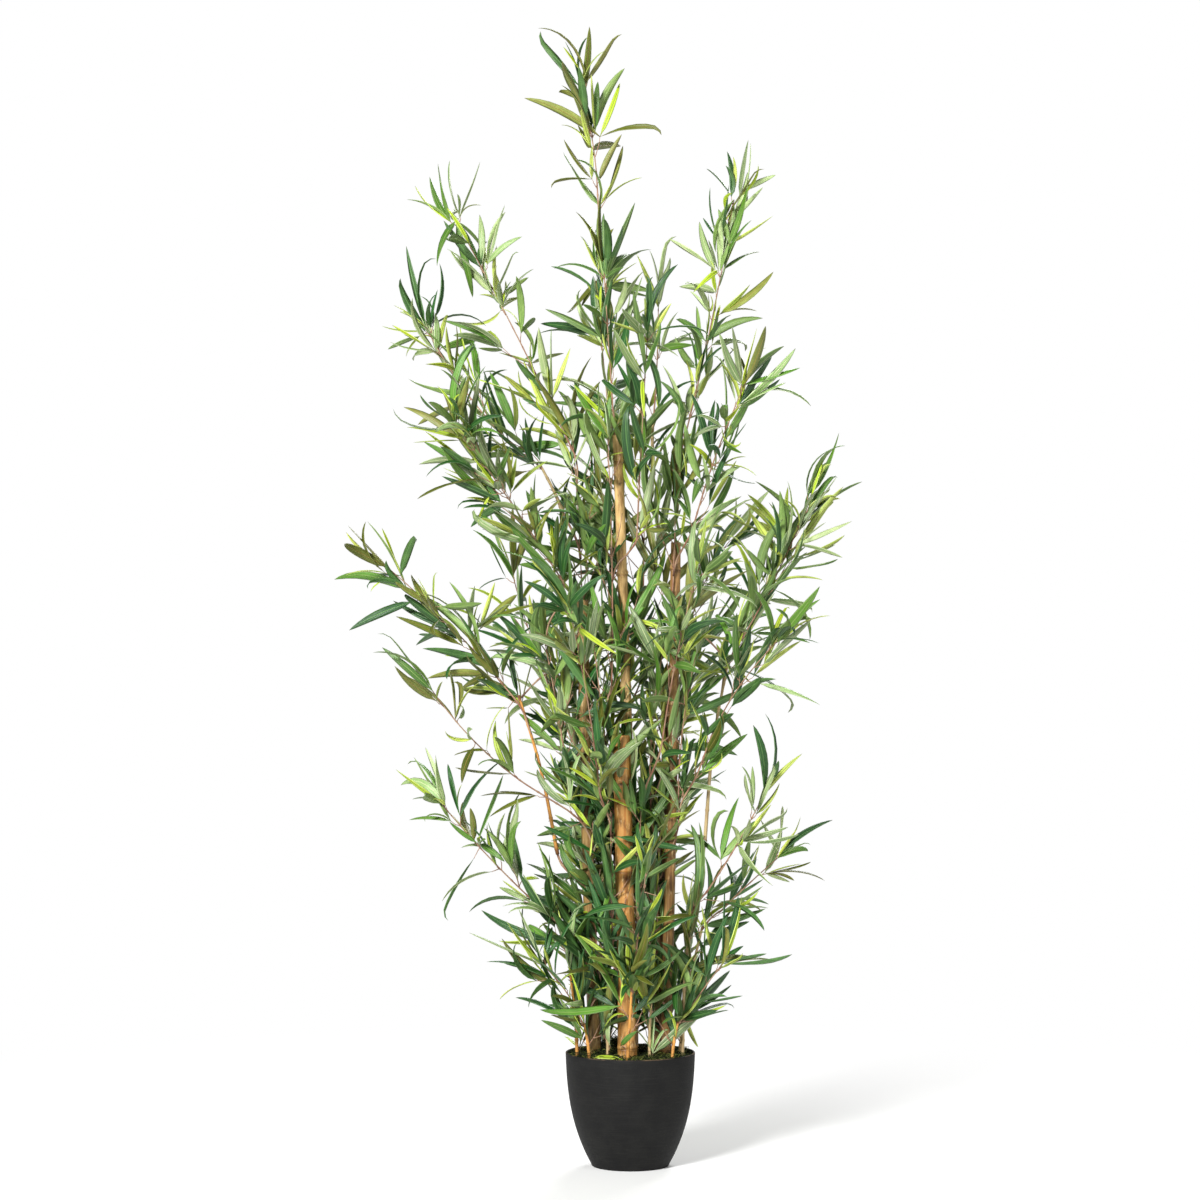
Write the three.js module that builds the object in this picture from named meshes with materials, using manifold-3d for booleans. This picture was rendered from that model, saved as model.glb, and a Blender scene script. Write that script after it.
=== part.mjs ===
// An artificial bamboo in a small pot, as a scene graph of closed solids.
// Millimetres, +Z up. The origin is the centre of the pot's flat underside, and +Y is the far side.
//
//   pot, moss_fill   the pot and what fills it, with a socket for each cane and stem
//   cane_*           natural bamboo canes, whole from their sockets to their cut tops
//   stem_*, bough_*  thin tapering limbs that end where they enter a foliage mass
//   foliage_*        one closed uneven solid for each spray of leaves, cut round canes and neighbours

import * as THREE from 'three';
import { mergeVertices } from 'three/addons/utils/BufferGeometryUtils.js';
import Module from 'manifold-3d';

const wasm = await Module();
wasm.setup();

// ---- driving sizes -----------------------------------------------------------------------------

const FIT_GAP = 0.4;        // clearance of canes and stems in what surrounds them
const LEAF_GAP = 1.5;       // clearance between one foliage mass and the next

const POT = {
  height: 150,
  footRadius: 50,
  rimRadius: 85.5,
  wall: 2.5,
  floor: 4,
  flare: 0.15,              // share of the width that grows evenly up to the rim
  belly: 2.7,               // how early the rest of the width is reached
  rings: 6,
  sides: 24,                // shared by the fill, so that its facets lie along the pot's
};

const MOSS = {
  edgeLevel: 139,           // height where the moss meets the pot's wall
  level: 143,               // mean height inside
  mound: 19,                // extra height of the mound
  moundCentre: [-20, 18],
  moundRadius: 30,
  lump: 2.5,                // height of the small lumps
  lumpWidth: [7, 8],        // their size across and along
  ridge: { width: 5, share: 0.6 },    // slanting ridges among them
  rings: 3,
};

const SOCKET = { cane: 70, stem: 118 };    // heights where canes and stems end inside the fill
const ENTRY = { spray: 10, core: 40 };     // how far a limb rises past a mass's foot before it is cut

const CANE_SIDES = 8;
const CANE_RING = { height: 5, swell: 1.09 };    // the raised ring at each joint of a cane

// Each cane: its foot in the pot and its cut top, how far it bows on the way, its radius at both
// ends, one joint's height and the distance between joints.
const CANES = [
  ['cane_tall', [4, 18], [-17, 12, 964], [4, 4], [8, 6.2], 779, 150],
  ['cane_front', [-3, -24], [-12, -28, 568], [1, 0], [12.6, 11.4], 389, 116],
  ['cane_left', [-43, 3], [-63, 0, 746], [-3, 0], [8.6, 7.4], 655, 142],
  ['cane_right', [44, 2], [60, 0, 822], [2, 0], [7.6, 6.5], 607, 179],
  ['cane_right_back', [33, 21], [50, 17, 606], [0, 1], [7, 6.4], 470, 156],
].map(([name, foot, top, bow, radii, joint, pitch]) => ({ name, foot, top, bow, radii, joint, pitch }));

const STEM = { sides: 5, footRadius: 2.6, topRadius: 1.7 };
const BOUGH = { sides: 5, footRadius: 2.4, topRadius: 1.5 };
const LIMB_RINGS = 3;
const LIMB_BOW = 0.03;      // how far a limb bows in towards the pot's axis, as a share of its length

const MASS = {
  sides: 7,
  rings: 4,
  foot: 0.2,                // width of the blunt foot, as a share of the fullest width
  fullest: 0.72,            // below 1 puts the fullest width nearer the foot
  // Each set of lobes: how many go round, how they turn from foot to tip, their depth, and how
  // they shift from one mass to the next.
  ripples: [
    { lobes: 2, turn: 5, depth: 0.16, shift: 1 },
    { lobes: 3, turn: -9, depth: 0.112, shift: 2.3 },
  ],
};

const TIP_GROWTH = 3;       // how much further than its sides a point grows for its clearance

// The leafy side sprigs that stand out of a mass.
const SPRIG = { sides: 3, turn: 2.4, rise: 0.8, footShare: 0.55, first: 0.3, last: 0.86 };

// Each spray: its foot, its bend and its tip, half its width and depth, the number of side sprigs
// and how far they stand out.
const SPRAYS = [
  ['spire_top', [-42, 4, 1262], [-50, 6, 1366], [-88, 0, 1490], [44, 40], 5, 46],
  ['spire', [-22, 8, 985], [-32, 10, 1110], [-40, 5, 1256], [50, 46], 5, 52],
  ['upper_left', [-72, 14, 944], [-204, 30, 1112], [-270, 44, 1316], [46, 44], 5, 44],
  ['upper_left_outer', [-122, 20, 920], [-212, 42, 1030], [-328, 66, 1160], [36, 34], 4, 36],
  ['left_shoulder', [-88, -34, 776], [-180, -66, 884], [-290, -100, 1012], [48, 42], 4, 38],
  ['upper_right', [66, 12, 936], [112, 24, 1120], [150, 36, 1354], [42, 40], 5, 42],
  ['upper_right_inner', [32, 52, 990], [38, 74, 1090], [38, 104, 1204], [32, 30], 3, 32],
  ['right_shoulder', [80, -34, 840], [132, -66, 950], [180, -104, 1090], [40, 38], 4, 36],
  ['mid_left', [-150, 8, 618], [-228, 16, 706], [-386, 28, 800], [44, 40], 4, 40],
  ['mid_left_low', [-88, -44, 476], [-172, -86, 598], [-290, -142, 690], [32, 30], 4, 30],
  ['mid_right', [132, 8, 668], [188, 12, 790], [294, 18, 912], [50, 42], 5, 38],
  ['mid_right_low', [88, -40, 520], [152, -80, 640], [240, -134, 738], [36, 32], 4, 32],
  ['lower_left', [-90, -16, 316], [-172, -40, 430], [-308, -70, 532], [32, 30], 4, 36],
  ['lower_right', [84, -28, 340], [132, -60, 440], [198, -100, 556], [30, 30], 4, 32],
  ['lower_right_outer', [98, 34, 310], [166, 60, 380], [250, 90, 440], [26, 26], 3, 28],
  ['foot_left', [-62, -30, 190], [-108, -46, 248], [-168, -66, 306], [25, 24], 3, 24],
  ['foot_right', [64, -28, 192], [106, -44, 258], [160, -62, 326], [26, 25], 3, 26],
  ['front_upper', [8, -60, 830], [14, -110, 970], [24, -180, 1140], [42, 38], 4, 38],
  ['front_mid_left', [-40, -86, 500], [-62, -160, 640], [-92, -264, 790], [42, 38], 4, 38],
  ['front_mid_right', [40, -86, 560], [66, -148, 690], [102, -244, 840], [40, 36], 4, 38],
  ['front_low', [2, -66, 240], [12, -132, 350], [28, -226, 470], [34, 32], 3, 34],
  ['back_upper', [-16, 62, 880], [-30, 112, 1040], [-50, 180, 1246], [42, 38], 5, 40],
  ['back_left', [-60, 76, 520], [-120, 142, 660], [-206, 236, 816], [44, 38], 4, 40],
  ['back_right', [58, 78, 580], [104, 144, 720], [168, 230, 876], [42, 38], 4, 40],
  ['back_low', [-8, 68, 250], [-30, 136, 370], [-70, 232, 496], [36, 34], 3, 36],
  ['core_top', [-8, 0, 620], [-6, 2, 830], [-12, 6, 1056], [104, 86], 0, 0],
  ['core_left', [-46, -4, 470], [-64, -6, 600], [-74, -4, 780], [62, 76], 0, 0],
  ['core_right', [42, 0, 440], [52, 0, 590], [58, 0, 780], [50, 76], 0, 0],
  ['core_low', [-6, 0, 188], [-6, 0, 340], [-8, 0, 520], [112, 86], 0, 0],
].map(([name, foot, bend, tip, half, sprigs, reach]) => ({
  name, path: [foot, bend, tip], half, sprigs, reach,
}));

// Thin stems that rise out of the moss, each to the foot of a spray or into the core.
const STEMS = [
  { name: 'stem_lower_left', foot: [-70, -12], to: 'lower_left' },
  { name: 'stem_foot_left', foot: [-52, -34], to: 'foot_left' },
  { name: 'stem_front', foot: [-6, -50], to: 'front_low' },
  { name: 'stem_foot_right', foot: [52, -32], to: 'foot_right' },
  { name: 'stem_lower_right', foot: [68, -10], to: 'lower_right' },
  { name: 'stem_lower_right_outer', foot: [62, 20], to: 'lower_right_outer' },
  { name: 'stem_back', foot: [4, 58], to: 'back_low' },
  { name: 'stem_core_left', foot: [-30, -28], to: 'core_low', into: [-34, -30] },
  { name: 'stem_core_right', foot: [26, -24], to: 'core_low', into: [28, -26] },
  { name: 'stem_core_far_left', foot: [-34, 36], to: 'core_low', into: [-38, 36] },
  { name: 'stem_core_far_right', foot: [28, 48], to: 'core_low', into: [32, 44] },
];

// Boughs that show between the core and the foot of an outer spray.
const BOUGHS = [
  { name: 'bough_mid_left', foot: [-96, 6, 410], to: 'mid_left' },
  { name: 'bough_mid_right', foot: [98, 6, 420], to: 'mid_right' },
  { name: 'bough_upper_left_outer', foot: [-84, 14, 850], to: 'upper_left_outer' },
  { name: 'bough_upper_right_inner', foot: [30, 40, 910], to: 'upper_right_inner' },
];

const WELD = 1e-4;          // vertices closer than this are one
const SAME_STATION = 1e-5;  // stations are read back from 32-bit numbers

const COLOURS = {
  pot: 0x262627,
  moss: 0x23301a,
  cane: 0xb98a4c,
  stem: 0xa98a5c,
  bough: 0x8d7a58,
  foliage: [0x2f5a2c, 0x3c6a31, 0x547a3a, 0x6d8f3e],
};

// ---- shapes ------------------------------------------------------------------------------------

// Each section of a swept part is measured round from this direction, which no part runs along.
const ACROSS = new THREE.Vector3(1, 0, 0);

/**
 * A surface swept along a curve: a lathed unit tube, bent along the curve and given its radius.
 * A pointed one narrows to nothing at the last station.
 */
function sweep(curve, stations, sides, radiusAt, pointed = false) {
  const onAxis = (u) => new THREE.Vector2(0, u);
  const wall = stations.slice(0, pointed ? -1 : undefined).map((u) => new THREE.Vector2(1, u));
  const outline = [onAxis(stations[0]), ...wall, onAxis(stations.at(-1))];
  const geometry = new THREE.LatheGeometry(outline, sides);
  const position = geometry.attributes.position;
  const point = new THREE.Vector3();
  for (let i = 0; i < position.count; i += 1) {
    point.fromBufferAttribute(position, i);
    const u = point.y;
    const angle = Math.atan2(point.z, point.x);
    const share = Math.hypot(point.x, point.z);
    const along = curve.getTangentAt(u);
    const normal = ACROSS.clone().addScaledVector(along, -along.x).normalize();
    const binormal = new THREE.Vector3().crossVectors(normal, along);
    const [wide, deep] = radiusAt(u, angle);
    const centre = curve.getPointAt(u);
    centre.addScaledVector(normal, Math.cos(angle) * share * wide);
    centre.addScaledVector(binormal, Math.sin(angle) * share * deep);
    position.setXYZ(i, centre.x, centre.y, centre.z);
  }
  return geometry;
}

/** The closed solid of a geometry, for joining and cutting. */
function solid(geometry) {
  geometry.deleteAttribute('normal');
  geometry.deleteAttribute('uv');
  const merged = mergeVertices(geometry, WELD);
  return new wasm.Manifold(new wasm.Mesh({
    numProp: 3,
    vertProperties: new Float32Array(merged.attributes.position.array),
    triVerts: new Uint32Array(merged.index.array),
  }));
}

/** The largest piece of a solid that a cut may have left in several. */
function largest(body) {
  const pieces = body.decompose();
  return pieces.reduce((best, piece) => (piece.volume() > best.volume() ? piece : best));
}

/** A named mesh from a solid. */
function mesh(name, body, colour, roughness = 0.7) {
  const { vertProperties, triVerts } = body.getMesh();
  const geometry = new THREE.BufferGeometry();
  geometry.setAttribute('position', new THREE.BufferAttribute(new Float32Array(vertProperties), 3));
  geometry.setIndex(new THREE.BufferAttribute(new Uint32Array(triVerts), 1));
  geometry.computeVertexNormals();
  const material = new THREE.MeshStandardMaterial({ color: colour, roughness, metalness: 0 });
  const result = new THREE.Mesh(geometry, material);
  result.name = name;
  return result;
}

const vector = (p) => new THREE.Vector3(...p);
const steps = (count) => Array.from({ length: count + 1 }, (_, i) => i / count);

// ---- pot and fill ------------------------------------------------------------------------------

/** The pot's outer radius at a height. */
function potRadius(z) {
  const t = z / POT.height;
  const rounded = 1 - (1 - t) ** POT.belly;
  return POT.footRadius + (POT.rimRadius - POT.footRadius) * (POT.flare * t + (1 - POT.flare) * rounded);
}

/** A solid of revolution about the pot's axis. */
function turned(profile, sides) {
  const outline = profile.map(([r, z]) => new THREE.Vector2(r, z));
  return new THREE.LatheGeometry(outline, sides).rotateX(Math.PI / 2);
}

/** The pot's inside wall from its floor up, as [radius, height], drawn in by a clearance. */
function insideWall(clearance = 0) {
  const heights = steps(POT.rings).map((t) => THREE.MathUtils.lerp(POT.floor, POT.height, t));
  return heights.map((z) => [potRadius(z) - POT.wall - clearance, z]);
}

function pot() {
  const outside = steps(POT.rings).map((t) => [potRadius(t * POT.height), t * POT.height]);
  return solid(turned([[0, 0], ...outside, ...insideWall().reverse(), [0, POT.floor]], POT.sides));
}

/** How far the moss stands above its mean level at a place. */
function mossLift(x, y) {
  const [moundX, moundY] = MOSS.moundCentre;
  const away = Math.hypot(x - moundX, y - moundY) / MOSS.moundRadius;
  const lumps = Math.sin(x / MOSS.lumpWidth[0] + 1) * Math.cos(y / MOSS.lumpWidth[1]);
  const ridges = MOSS.ridge.share * Math.sin((x + y) / MOSS.ridge.width);
  return MOSS.mound * Math.exp(-away * away) + MOSS.lump * (lumps + ridges);
}

function mossFill() {
  const base = POT.floor + FIT_GAP;
  const [[baseRadius], ...higher] = insideWall(FIT_GAP);
  const edge = [potRadius(MOSS.edgeLevel) - POT.wall - FIT_GAP, MOSS.edgeLevel];
  const wall = [[baseRadius, base], ...higher.filter(([, z]) => z < MOSS.edgeLevel), edge];
  const top = steps(MOSS.rings).slice(1).map((t) => [edge[0] * (1 - t), MOSS.level]);
  const geometry = turned([[0, base], ...wall, ...top], POT.sides);
  const position = geometry.attributes.position;
  for (let i = 0; i < position.count; i += 1) {
    if (position.getZ(i) > MOSS.edgeLevel + FIT_GAP) {
      position.setZ(i, position.getZ(i) + mossLift(position.getX(i), position.getY(i)));
    }
  }
  return solid(geometry);
}

// ---- canes, stems and boughs -------------------------------------------------------------------

/** A cane with a raised ring at each joint; grow widens it evenly. */
function cane({ foot, top, bow, radii, joint, pitch }, grow = 0) {
  const [topX, topY, topZ] = top;
  const tall = topZ - SOCKET.cane;
  const middle = [(foot[0] + topX) / 2 + bow[0], (foot[1] + topY) / 2 + bow[1], (SOCKET.cane + topZ) / 2];
  const ends = [[...foot, SOCKET.cane - grow], [topX, topY, topZ + grow]];
  const curve = new THREE.CatmullRomCurve3([ends[0], middle, ends[1]].map(vector));
  const first = joint - pitch * Math.floor((joint - POT.height) / pitch);
  const joints = [];
  for (let z = first; z < topZ - CANE_RING.height; z += pitch) {
    joints.push((z - SOCKET.cane) / tall);
  }
  const lip = CANE_RING.height / tall;
  const stations = [0, 1, ...joints.flatMap((u) => [u - lip, u, u + lip])].filter((u) => u >= 0 && u <= 1);
  const radiusAt = (u) => {
    const plain = THREE.MathUtils.lerp(radii[0], radii[1], u);
    const onJoint = joints.some((at) => Math.abs(at - u) < SAME_STATION);
    const radius = plain * (onJoint ? CANE_RING.swell : 1) + grow;
    return [radius, radius];
  };
  return solid(sweep(curve, stations.sort((a, b) => a - b), CANE_SIDES, radiusAt));
}

/** A thin tapering limb that bows in a little before it leans out. */
function limb(from, to, { sides, footRadius, topRadius }, grow = 0) {
  const [foot, tip] = [vector(from), vector(to)];
  const middle = foot.clone().lerp(tip, 0.5);
  const inwards = new THREE.Vector3(-middle.x, -middle.y, 0).normalize();
  middle.addScaledVector(inwards, LIMB_BOW * foot.distanceTo(tip));
  const curve = new THREE.CatmullRomCurve3([foot, middle, tip]);
  const radiusAt = (u) => {
    const radius = THREE.MathUtils.lerp(footRadius, topRadius, u) + grow;
    return [radius, radius];
  };
  return solid(sweep(curve, steps(LIMB_RINGS), sides, radiusAt));
}

// ---- foliage -----------------------------------------------------------------------------------

/** One side sprig: a leafy point that leaves the spray's middle and rises outwards. */
function sprig(curve, half, reach, index, count, grow) {
  const u = THREE.MathUtils.lerp(SPRIG.first, SPRIG.last, (index + 0.5) / count);
  const angle = index * SPRIG.turn;
  const along = curve.getTangentAt(u);
  const normal = ACROSS.clone().addScaledVector(along, -along.x).normalize();
  const binormal = new THREE.Vector3().crossVectors(normal, along);
  const out = normal.multiplyScalar(Math.cos(angle)).addScaledVector(binormal, Math.sin(angle));
  const from = curve.getPointAt(u);
  const heading = out.multiplyScalar(Math.sqrt(1 - SPRIG.rise ** 2)).addScaledVector(along, SPRIG.rise);
  const to = from.clone().addScaledVector(heading, half[0] + reach + TIP_GROWTH * grow);
  const radius = half[1] * SPRIG.footShare + grow;
  return solid(sweep(new THREE.LineCurve3(from, to), [0, 1], SPRIG.sides, () => [radius, radius], true));
}

/** A spray of leaves as one uneven solid, with its side sprigs joined on. */
function spray({ path, half, sprigs, reach }, order, grow = 0) {
  const [foot, bend, tip] = path.map(vector);
  tip.addScaledVector(tip.clone().sub(bend).normalize(), TIP_GROWTH * grow);
  const curve = new THREE.CatmullRomCurve3([foot, bend, tip]);
  const fullness = (u) => MASS.foot * (1 - u) + (1 - MASS.foot) * Math.sin(Math.PI * u ** MASS.fullest);
  const unevenness = (u, angle) => MASS.ripples.reduce(
    (sum, { lobes, turn, depth, shift }) => sum + depth * Math.sin(lobes * angle + turn * u + shift * order),
    1,
  );
  const radiusAt = (u, angle) => {
    const scale = fullness(u) * unevenness(u, angle);
    return [half[0] * scale + grow, half[1] * scale + grow];
  };
  let body = solid(sweep(curve, steps(MASS.rings), MASS.sides, radiusAt, true));
  for (let i = 0; i < sprigs; i += 1) {
    body = body.add(sprig(curve, half, reach, i, sprigs, grow));
  }
  return body;
}

// ---- the plant ---------------------------------------------------------------------------------

const plant = new THREE.Group();

let clearOfCanes = cane(CANES[0], FIT_GAP);
for (const item of CANES) {
  plant.add(mesh(item.name, cane(item), COLOURS.cane, 0.6));
  clearOfCanes = clearOfCanes.add(cane(item, FIT_GAP));
}

let clearOfFoliage = clearOfCanes;
SPRAYS.forEach((item, order) => {
  const body = largest(spray(item, order).subtract(clearOfFoliage));
  plant.add(mesh(`foliage_${item.name}`, body, COLOURS.foliage[order % COLOURS.foliage.length]));
  clearOfFoliage = clearOfFoliage.add(spray(item, order, LEAF_GAP));
});

const sprayNamed = (name) => SPRAYS.find((item) => item.name === name);

let fill = mossFill().subtract(clearOfCanes);
for (const { name, foot, to, into } of STEMS) {
  const [x, y, z] = sprayNamed(to).path[0];
  const from = [...foot, SOCKET.stem];
  const end = into ? [...into, z + ENTRY.core] : [x, y, z + ENTRY.spray];
  const body = limb(from, end, STEM);
  plant.add(mesh(name, largest(body.subtract(clearOfFoliage)), COLOURS.stem));
  fill = fill.subtract(limb(from, end, STEM, FIT_GAP));
}
for (const { name, foot, to } of BOUGHS) {
  const [x, y, z] = sprayNamed(to).path[0];
  const body = limb(foot, [x, y, z + ENTRY.spray], BOUGH);
  plant.add(mesh(name, largest(body.subtract(clearOfFoliage)), COLOURS.bough));
}

plant.add(mesh('pot', pot(), COLOURS.pot, 0.8));
plant.add(mesh('moss_fill', largest(fill), COLOURS.moss, 1));

export default plant;
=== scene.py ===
"""Looks for an artificial potted bamboo: pot, moss, natural canes, thin stems, twigs and leaves.

Metres, +Z up, +Y the far side. Every place comes from the CAD nodes: a cane follows its node's
centre line, and shoots, twigs and leaves grow on from the limbs through each foliage node by a
seeded branching rule.
"""

import math

import bpy
import numpy as np
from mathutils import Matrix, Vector
from mathutils.bvhtree import BVHTree


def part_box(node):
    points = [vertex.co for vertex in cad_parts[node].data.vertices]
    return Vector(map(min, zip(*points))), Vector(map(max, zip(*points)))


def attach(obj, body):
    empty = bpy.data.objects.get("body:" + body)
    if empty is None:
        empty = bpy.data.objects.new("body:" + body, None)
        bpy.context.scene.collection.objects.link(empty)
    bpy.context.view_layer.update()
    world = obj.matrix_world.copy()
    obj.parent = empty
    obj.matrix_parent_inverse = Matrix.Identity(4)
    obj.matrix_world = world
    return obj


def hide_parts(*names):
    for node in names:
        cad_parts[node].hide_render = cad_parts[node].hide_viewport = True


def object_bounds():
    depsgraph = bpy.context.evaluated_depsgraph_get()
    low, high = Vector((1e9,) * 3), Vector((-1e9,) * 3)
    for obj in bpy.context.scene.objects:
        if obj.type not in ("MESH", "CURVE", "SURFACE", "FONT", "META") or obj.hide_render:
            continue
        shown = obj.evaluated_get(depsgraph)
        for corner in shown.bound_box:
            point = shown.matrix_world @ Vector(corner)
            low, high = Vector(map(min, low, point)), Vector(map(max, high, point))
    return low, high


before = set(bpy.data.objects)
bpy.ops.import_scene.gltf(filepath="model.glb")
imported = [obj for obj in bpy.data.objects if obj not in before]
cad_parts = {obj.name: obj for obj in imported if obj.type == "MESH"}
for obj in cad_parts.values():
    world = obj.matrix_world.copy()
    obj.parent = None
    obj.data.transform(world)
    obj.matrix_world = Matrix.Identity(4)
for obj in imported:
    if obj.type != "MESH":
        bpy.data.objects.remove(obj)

MM = 0.001
SEED = 27

# ---- sizes ----

CAMERA_PLACE = (-0.04, -4.5, 0.746)
CAMERA_LENS = 102.3
CAMERA_SENSOR = 36.0
FLOOR_RADIUS, FLOOR_SIDES = 7.0, 96
FLOOR_FADE = (0.25, 1.5)    # the floor fades to plain white between these distances
WORLD_LIGHT = 0.20

POT_HEIGHT, POT_FOOT, POT_RIM, POT_WALL = 150 * MM, 50 * MM, 85.5 * MM, 2.5 * MM
POT_FLOOR = 4 * MM
POT_FLARE, POT_BELLY = 0.15, 2.7
POT_SIDES, POT_RINGS = 144, 48

MOSS_LEVEL, MOSS_EDGE = 142 * MM, 138 * MM
MOUND_HEIGHT, MOUND_CENTRE, MOUND_RADIUS = 19 * MM, (-20 * MM, 18 * MM), 30 * MM
MOSS_SIDES, MOSS_RINGS = 96, 42
MOSS_DEPTH = 30 * MM
MOSS_CURLS = 2600

CANE_SIDES = 44
CANE_STEP = 3.5 * MM
CANE_WALL_SHARE = 0.68      # inner radius of the hollow cut top, as a share of the outer one
CANE_HOLLOW = 14 * MM
JOINT_SWELL = 1.035         # a CAD point this far out, as a share of the radius, is on a joint's ring
LEVEL_STEP = 8 * MM         # joints are found at levels this far apart
JOINT_CLEAR = 12 * MM       # no joint is nearer than this to a cane's end

STEM_SIDES, TWIG_SIDES = 8, 6
LINE_STEP = 5 * MM          # between the points of a limb's or shoot's line
AXIS_POINTS, CORE_SPAN = 40, (2, 34)        # a core shoot follows this span of its node's middle line
STEM_FOOT, STEM_TIP = 2.5 * MM, 1.6 * MM
BOUGH_FOOT = 1.8 * MM
STEM_RING_SPACING, SHOOT_RING_SPACING = 42 * MM, 30 * MM
TWIG_RINGS = 7
SHOOT_FOOT, SHOOT_TIP = 1.35 * MM, 0.62 * MM
TWIG_FOOT, TWIG_TIP = 0.75 * MM, 0.42 * MM

LEAF_STATIONS = 10
LEAF_LENGTH = (86 * MM, 118 * MM)
LEAF_WIDTH = 13.2 * MM
LEAF_THICKNESS = 0.5 * MM
FALLEN_AT = (-48 * MM, -62 * MM, 150 * MM)
FALLEN_LENGTH, FALLEN_WIDTH = 40 * MM, 10 * MM
SLIM_WIDTH = 0.66           # width of a fan's slim leaf, as a share of a plain one's

NODE_SPACING = 27 * MM      # between the twigs of one shoot
TWIG_ANGLE = (0.40, 0.92)   # from the shoot, in radians
TWIG_SHORTEST, TWIG_LONGEST = 14 * MM, 74 * MM
TIP_CUT = 66 * MM           # a shoot ends this far short of its spray's tip, which its leaves reach
FAN_SPACING = 30 * MM       # between the fans of one long twig
GOLDEN_TURN = 2.4
LIMB_MEETS = 45 * MM        # a limb whose end is nearer than this to a spray's foot carries it
CORE_MEETS = 90 * MM        # the same for the core's shoots
LINK_DROP, LINK_LEAST = 60 * MM, 15 * MM    # how far below a shoot's foot its host point should and must be
LINK_SLANT = 0.8            # how far aside it may be, as a share of that drop
BEFORE_FOOT = 40 * MM       # how far below a spray's foot its first twigs stand
STEM_BARE = 24 * MM         # a thin stem has no leaves below this distance from its foot
STEM_SPACING = 24 * MM
FOOT_DEEP = 8 * MM          # a foliage node's foot is all that stands within this of its lowest point
OPEN_REACH = 40 * MM        # how far a twig may reach where it meets no surface
PROUD = 10 * MM             # how far a leaf tip may stand out of the CAD model's box

# ---- colours ----


def srgb(red, green, blue):
    """A linear RGBA colour from 8-bit sRGB values."""
    linear = [((c / 255 + 0.055) / 1.055) ** 2.4 if c > 10 else c / 255 / 12.92 for c in (red, green, blue)]
    return (*linear, 1.0)


# Each kind of leaf: its upper face, underside, midrib and pale margin.
LEAF_KINDS = {
    "deep": (srgb(22, 68, 26), srgb(66, 100, 52), srgb(88, 130, 68), srgb(108, 144, 86)),
    "mid": (srgb(70, 112, 40), srgb(112, 136, 78), srgb(128, 158, 82), srgb(146, 170, 106)),
    "olive": (srgb(74, 86, 24), srgb(116, 124, 64), srgb(132, 118, 54), srgb(144, 150, 84)),
    "lime": (srgb(150, 176, 56), srgb(176, 192, 100), srgb(122, 120, 48), srgb(214, 220, 140)),
    "pale": (srgb(112, 140, 84), srgb(150, 170, 118), srgb(190, 200, 148), srgb(220, 226, 188)),
}

# How each tone of spray deals out its leaves.
TONES = {
    "fresh": {"deep": 0.32, "mid": 0.34, "olive": 0.12, "pale": 0.22},
    "dark": {"deep": 0.56, "mid": 0.22, "olive": 0.14, "pale": 0.08},
    "olive": {"deep": 0.16, "mid": 0.20, "olive": 0.52, "pale": 0.12},
    "silver": {"deep": 0.32, "mid": 0.24, "olive": 0.10, "pale": 0.34},
    "bright": {"deep": 0.20, "mid": 0.34, "lime": 0.26, "pale": 0.20},
}
SPRAY_TONES = {
    "olive": ("spire_top", "mid_left", "mid_left_low"),
    "silver": ("upper_right", "right_shoulder", "lower_right"),
    "dark": ("foot_left", "foot_right", "core_low", "back_low", "front_low", "back_left", "back_right"),
    "bright": ("mid_right", "upper_left"),
}
# How full a spray's leaves are, where that is more or less than the rest.
SPRAY_FULLNESS = {
    "left_shoulder": 2.0, "upper_left": 0.85, "upper_left_outer": 0.85,
    "mid_right": 1.7,
    "foot_left": 1.1, "foot_right": 0.9, "front_low": 1.3,
    "lower_right": 0.7, "front_upper": 0.5, "mid_left": 1.4,
    "spire": 1.25, "spire_top": 0.72, "core_top": 0.85,
    "upper_right_inner": 0.45, "back_upper": 0.5, "mid_left_low": 0.68,
    "front_mid_left": 0.9, "front_mid_right": 0.85, "lower_left": 0.85,
    "upper_right": 0.85, "core_right": 0.9,
}
LIME_SHARE = 0.72           # share of fans whose slim leaf is a lime one

# ---- arrays ----


def unit(v):
    return v / np.maximum(np.linalg.norm(v, axis=-1, keepdims=True), 1e-12)


def dot(a, b):
    return np.sum(a * b, axis=-1, keepdims=True)


def smoothstep(low, high, x):
    t = np.clip((x - low) / (high - low), 0, 1)
    return t * t * (3 - 2 * t)


def hump(x, centre, width):
    return np.exp(-((x - centre) / width) ** 2)


def circle(count):
    """Evenly spaced angles once round."""
    return np.linspace(0, 2 * np.pi, count, endpoint=False)


def smooth_line(points, count):
    """A Catmull-Rom line through the points, as evenly spaced points."""
    p = np.asarray(points, float)
    padded = np.vstack([2 * p[0] - p[1], p, 2 * p[-1] - p[-2]])
    t = np.linspace(0, len(p) - 1, 16 * (len(p) - 1) + 1)
    i = np.minimum(t.astype(int), len(p) - 2)
    f = (t - i)[:, None]
    a, b, c, d = padded[i], padded[i + 1], padded[i + 2], padded[i + 3]
    dense = 0.5 * (2 * b + (c - a) * f + (2 * a - 5 * b + 4 * c - d) * f**2 + (3 * b - a - 3 * c + d) * f**3)
    length = np.concatenate([[0], np.cumsum(np.linalg.norm(np.diff(dense, axis=0), axis=1))])
    even = np.linspace(0, length[-1], count)
    return np.stack([np.interp(even, length, dense[:, k]) for k in range(3)], axis=1)


def line_length(line):
    return np.linalg.norm(np.diff(line, axis=0), axis=1).sum()


def across(direction):
    """Two unit vectors at right angles to a direction and to each other."""
    helper = np.where(np.abs(direction[..., 2:]) < 0.8, [[0.0, 0.0, 1.0]], [[1.0, 0.0, 0.0]])
    first = unit(np.cross(helper.reshape(direction.shape), direction))
    return first, np.cross(direction, first)


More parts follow.
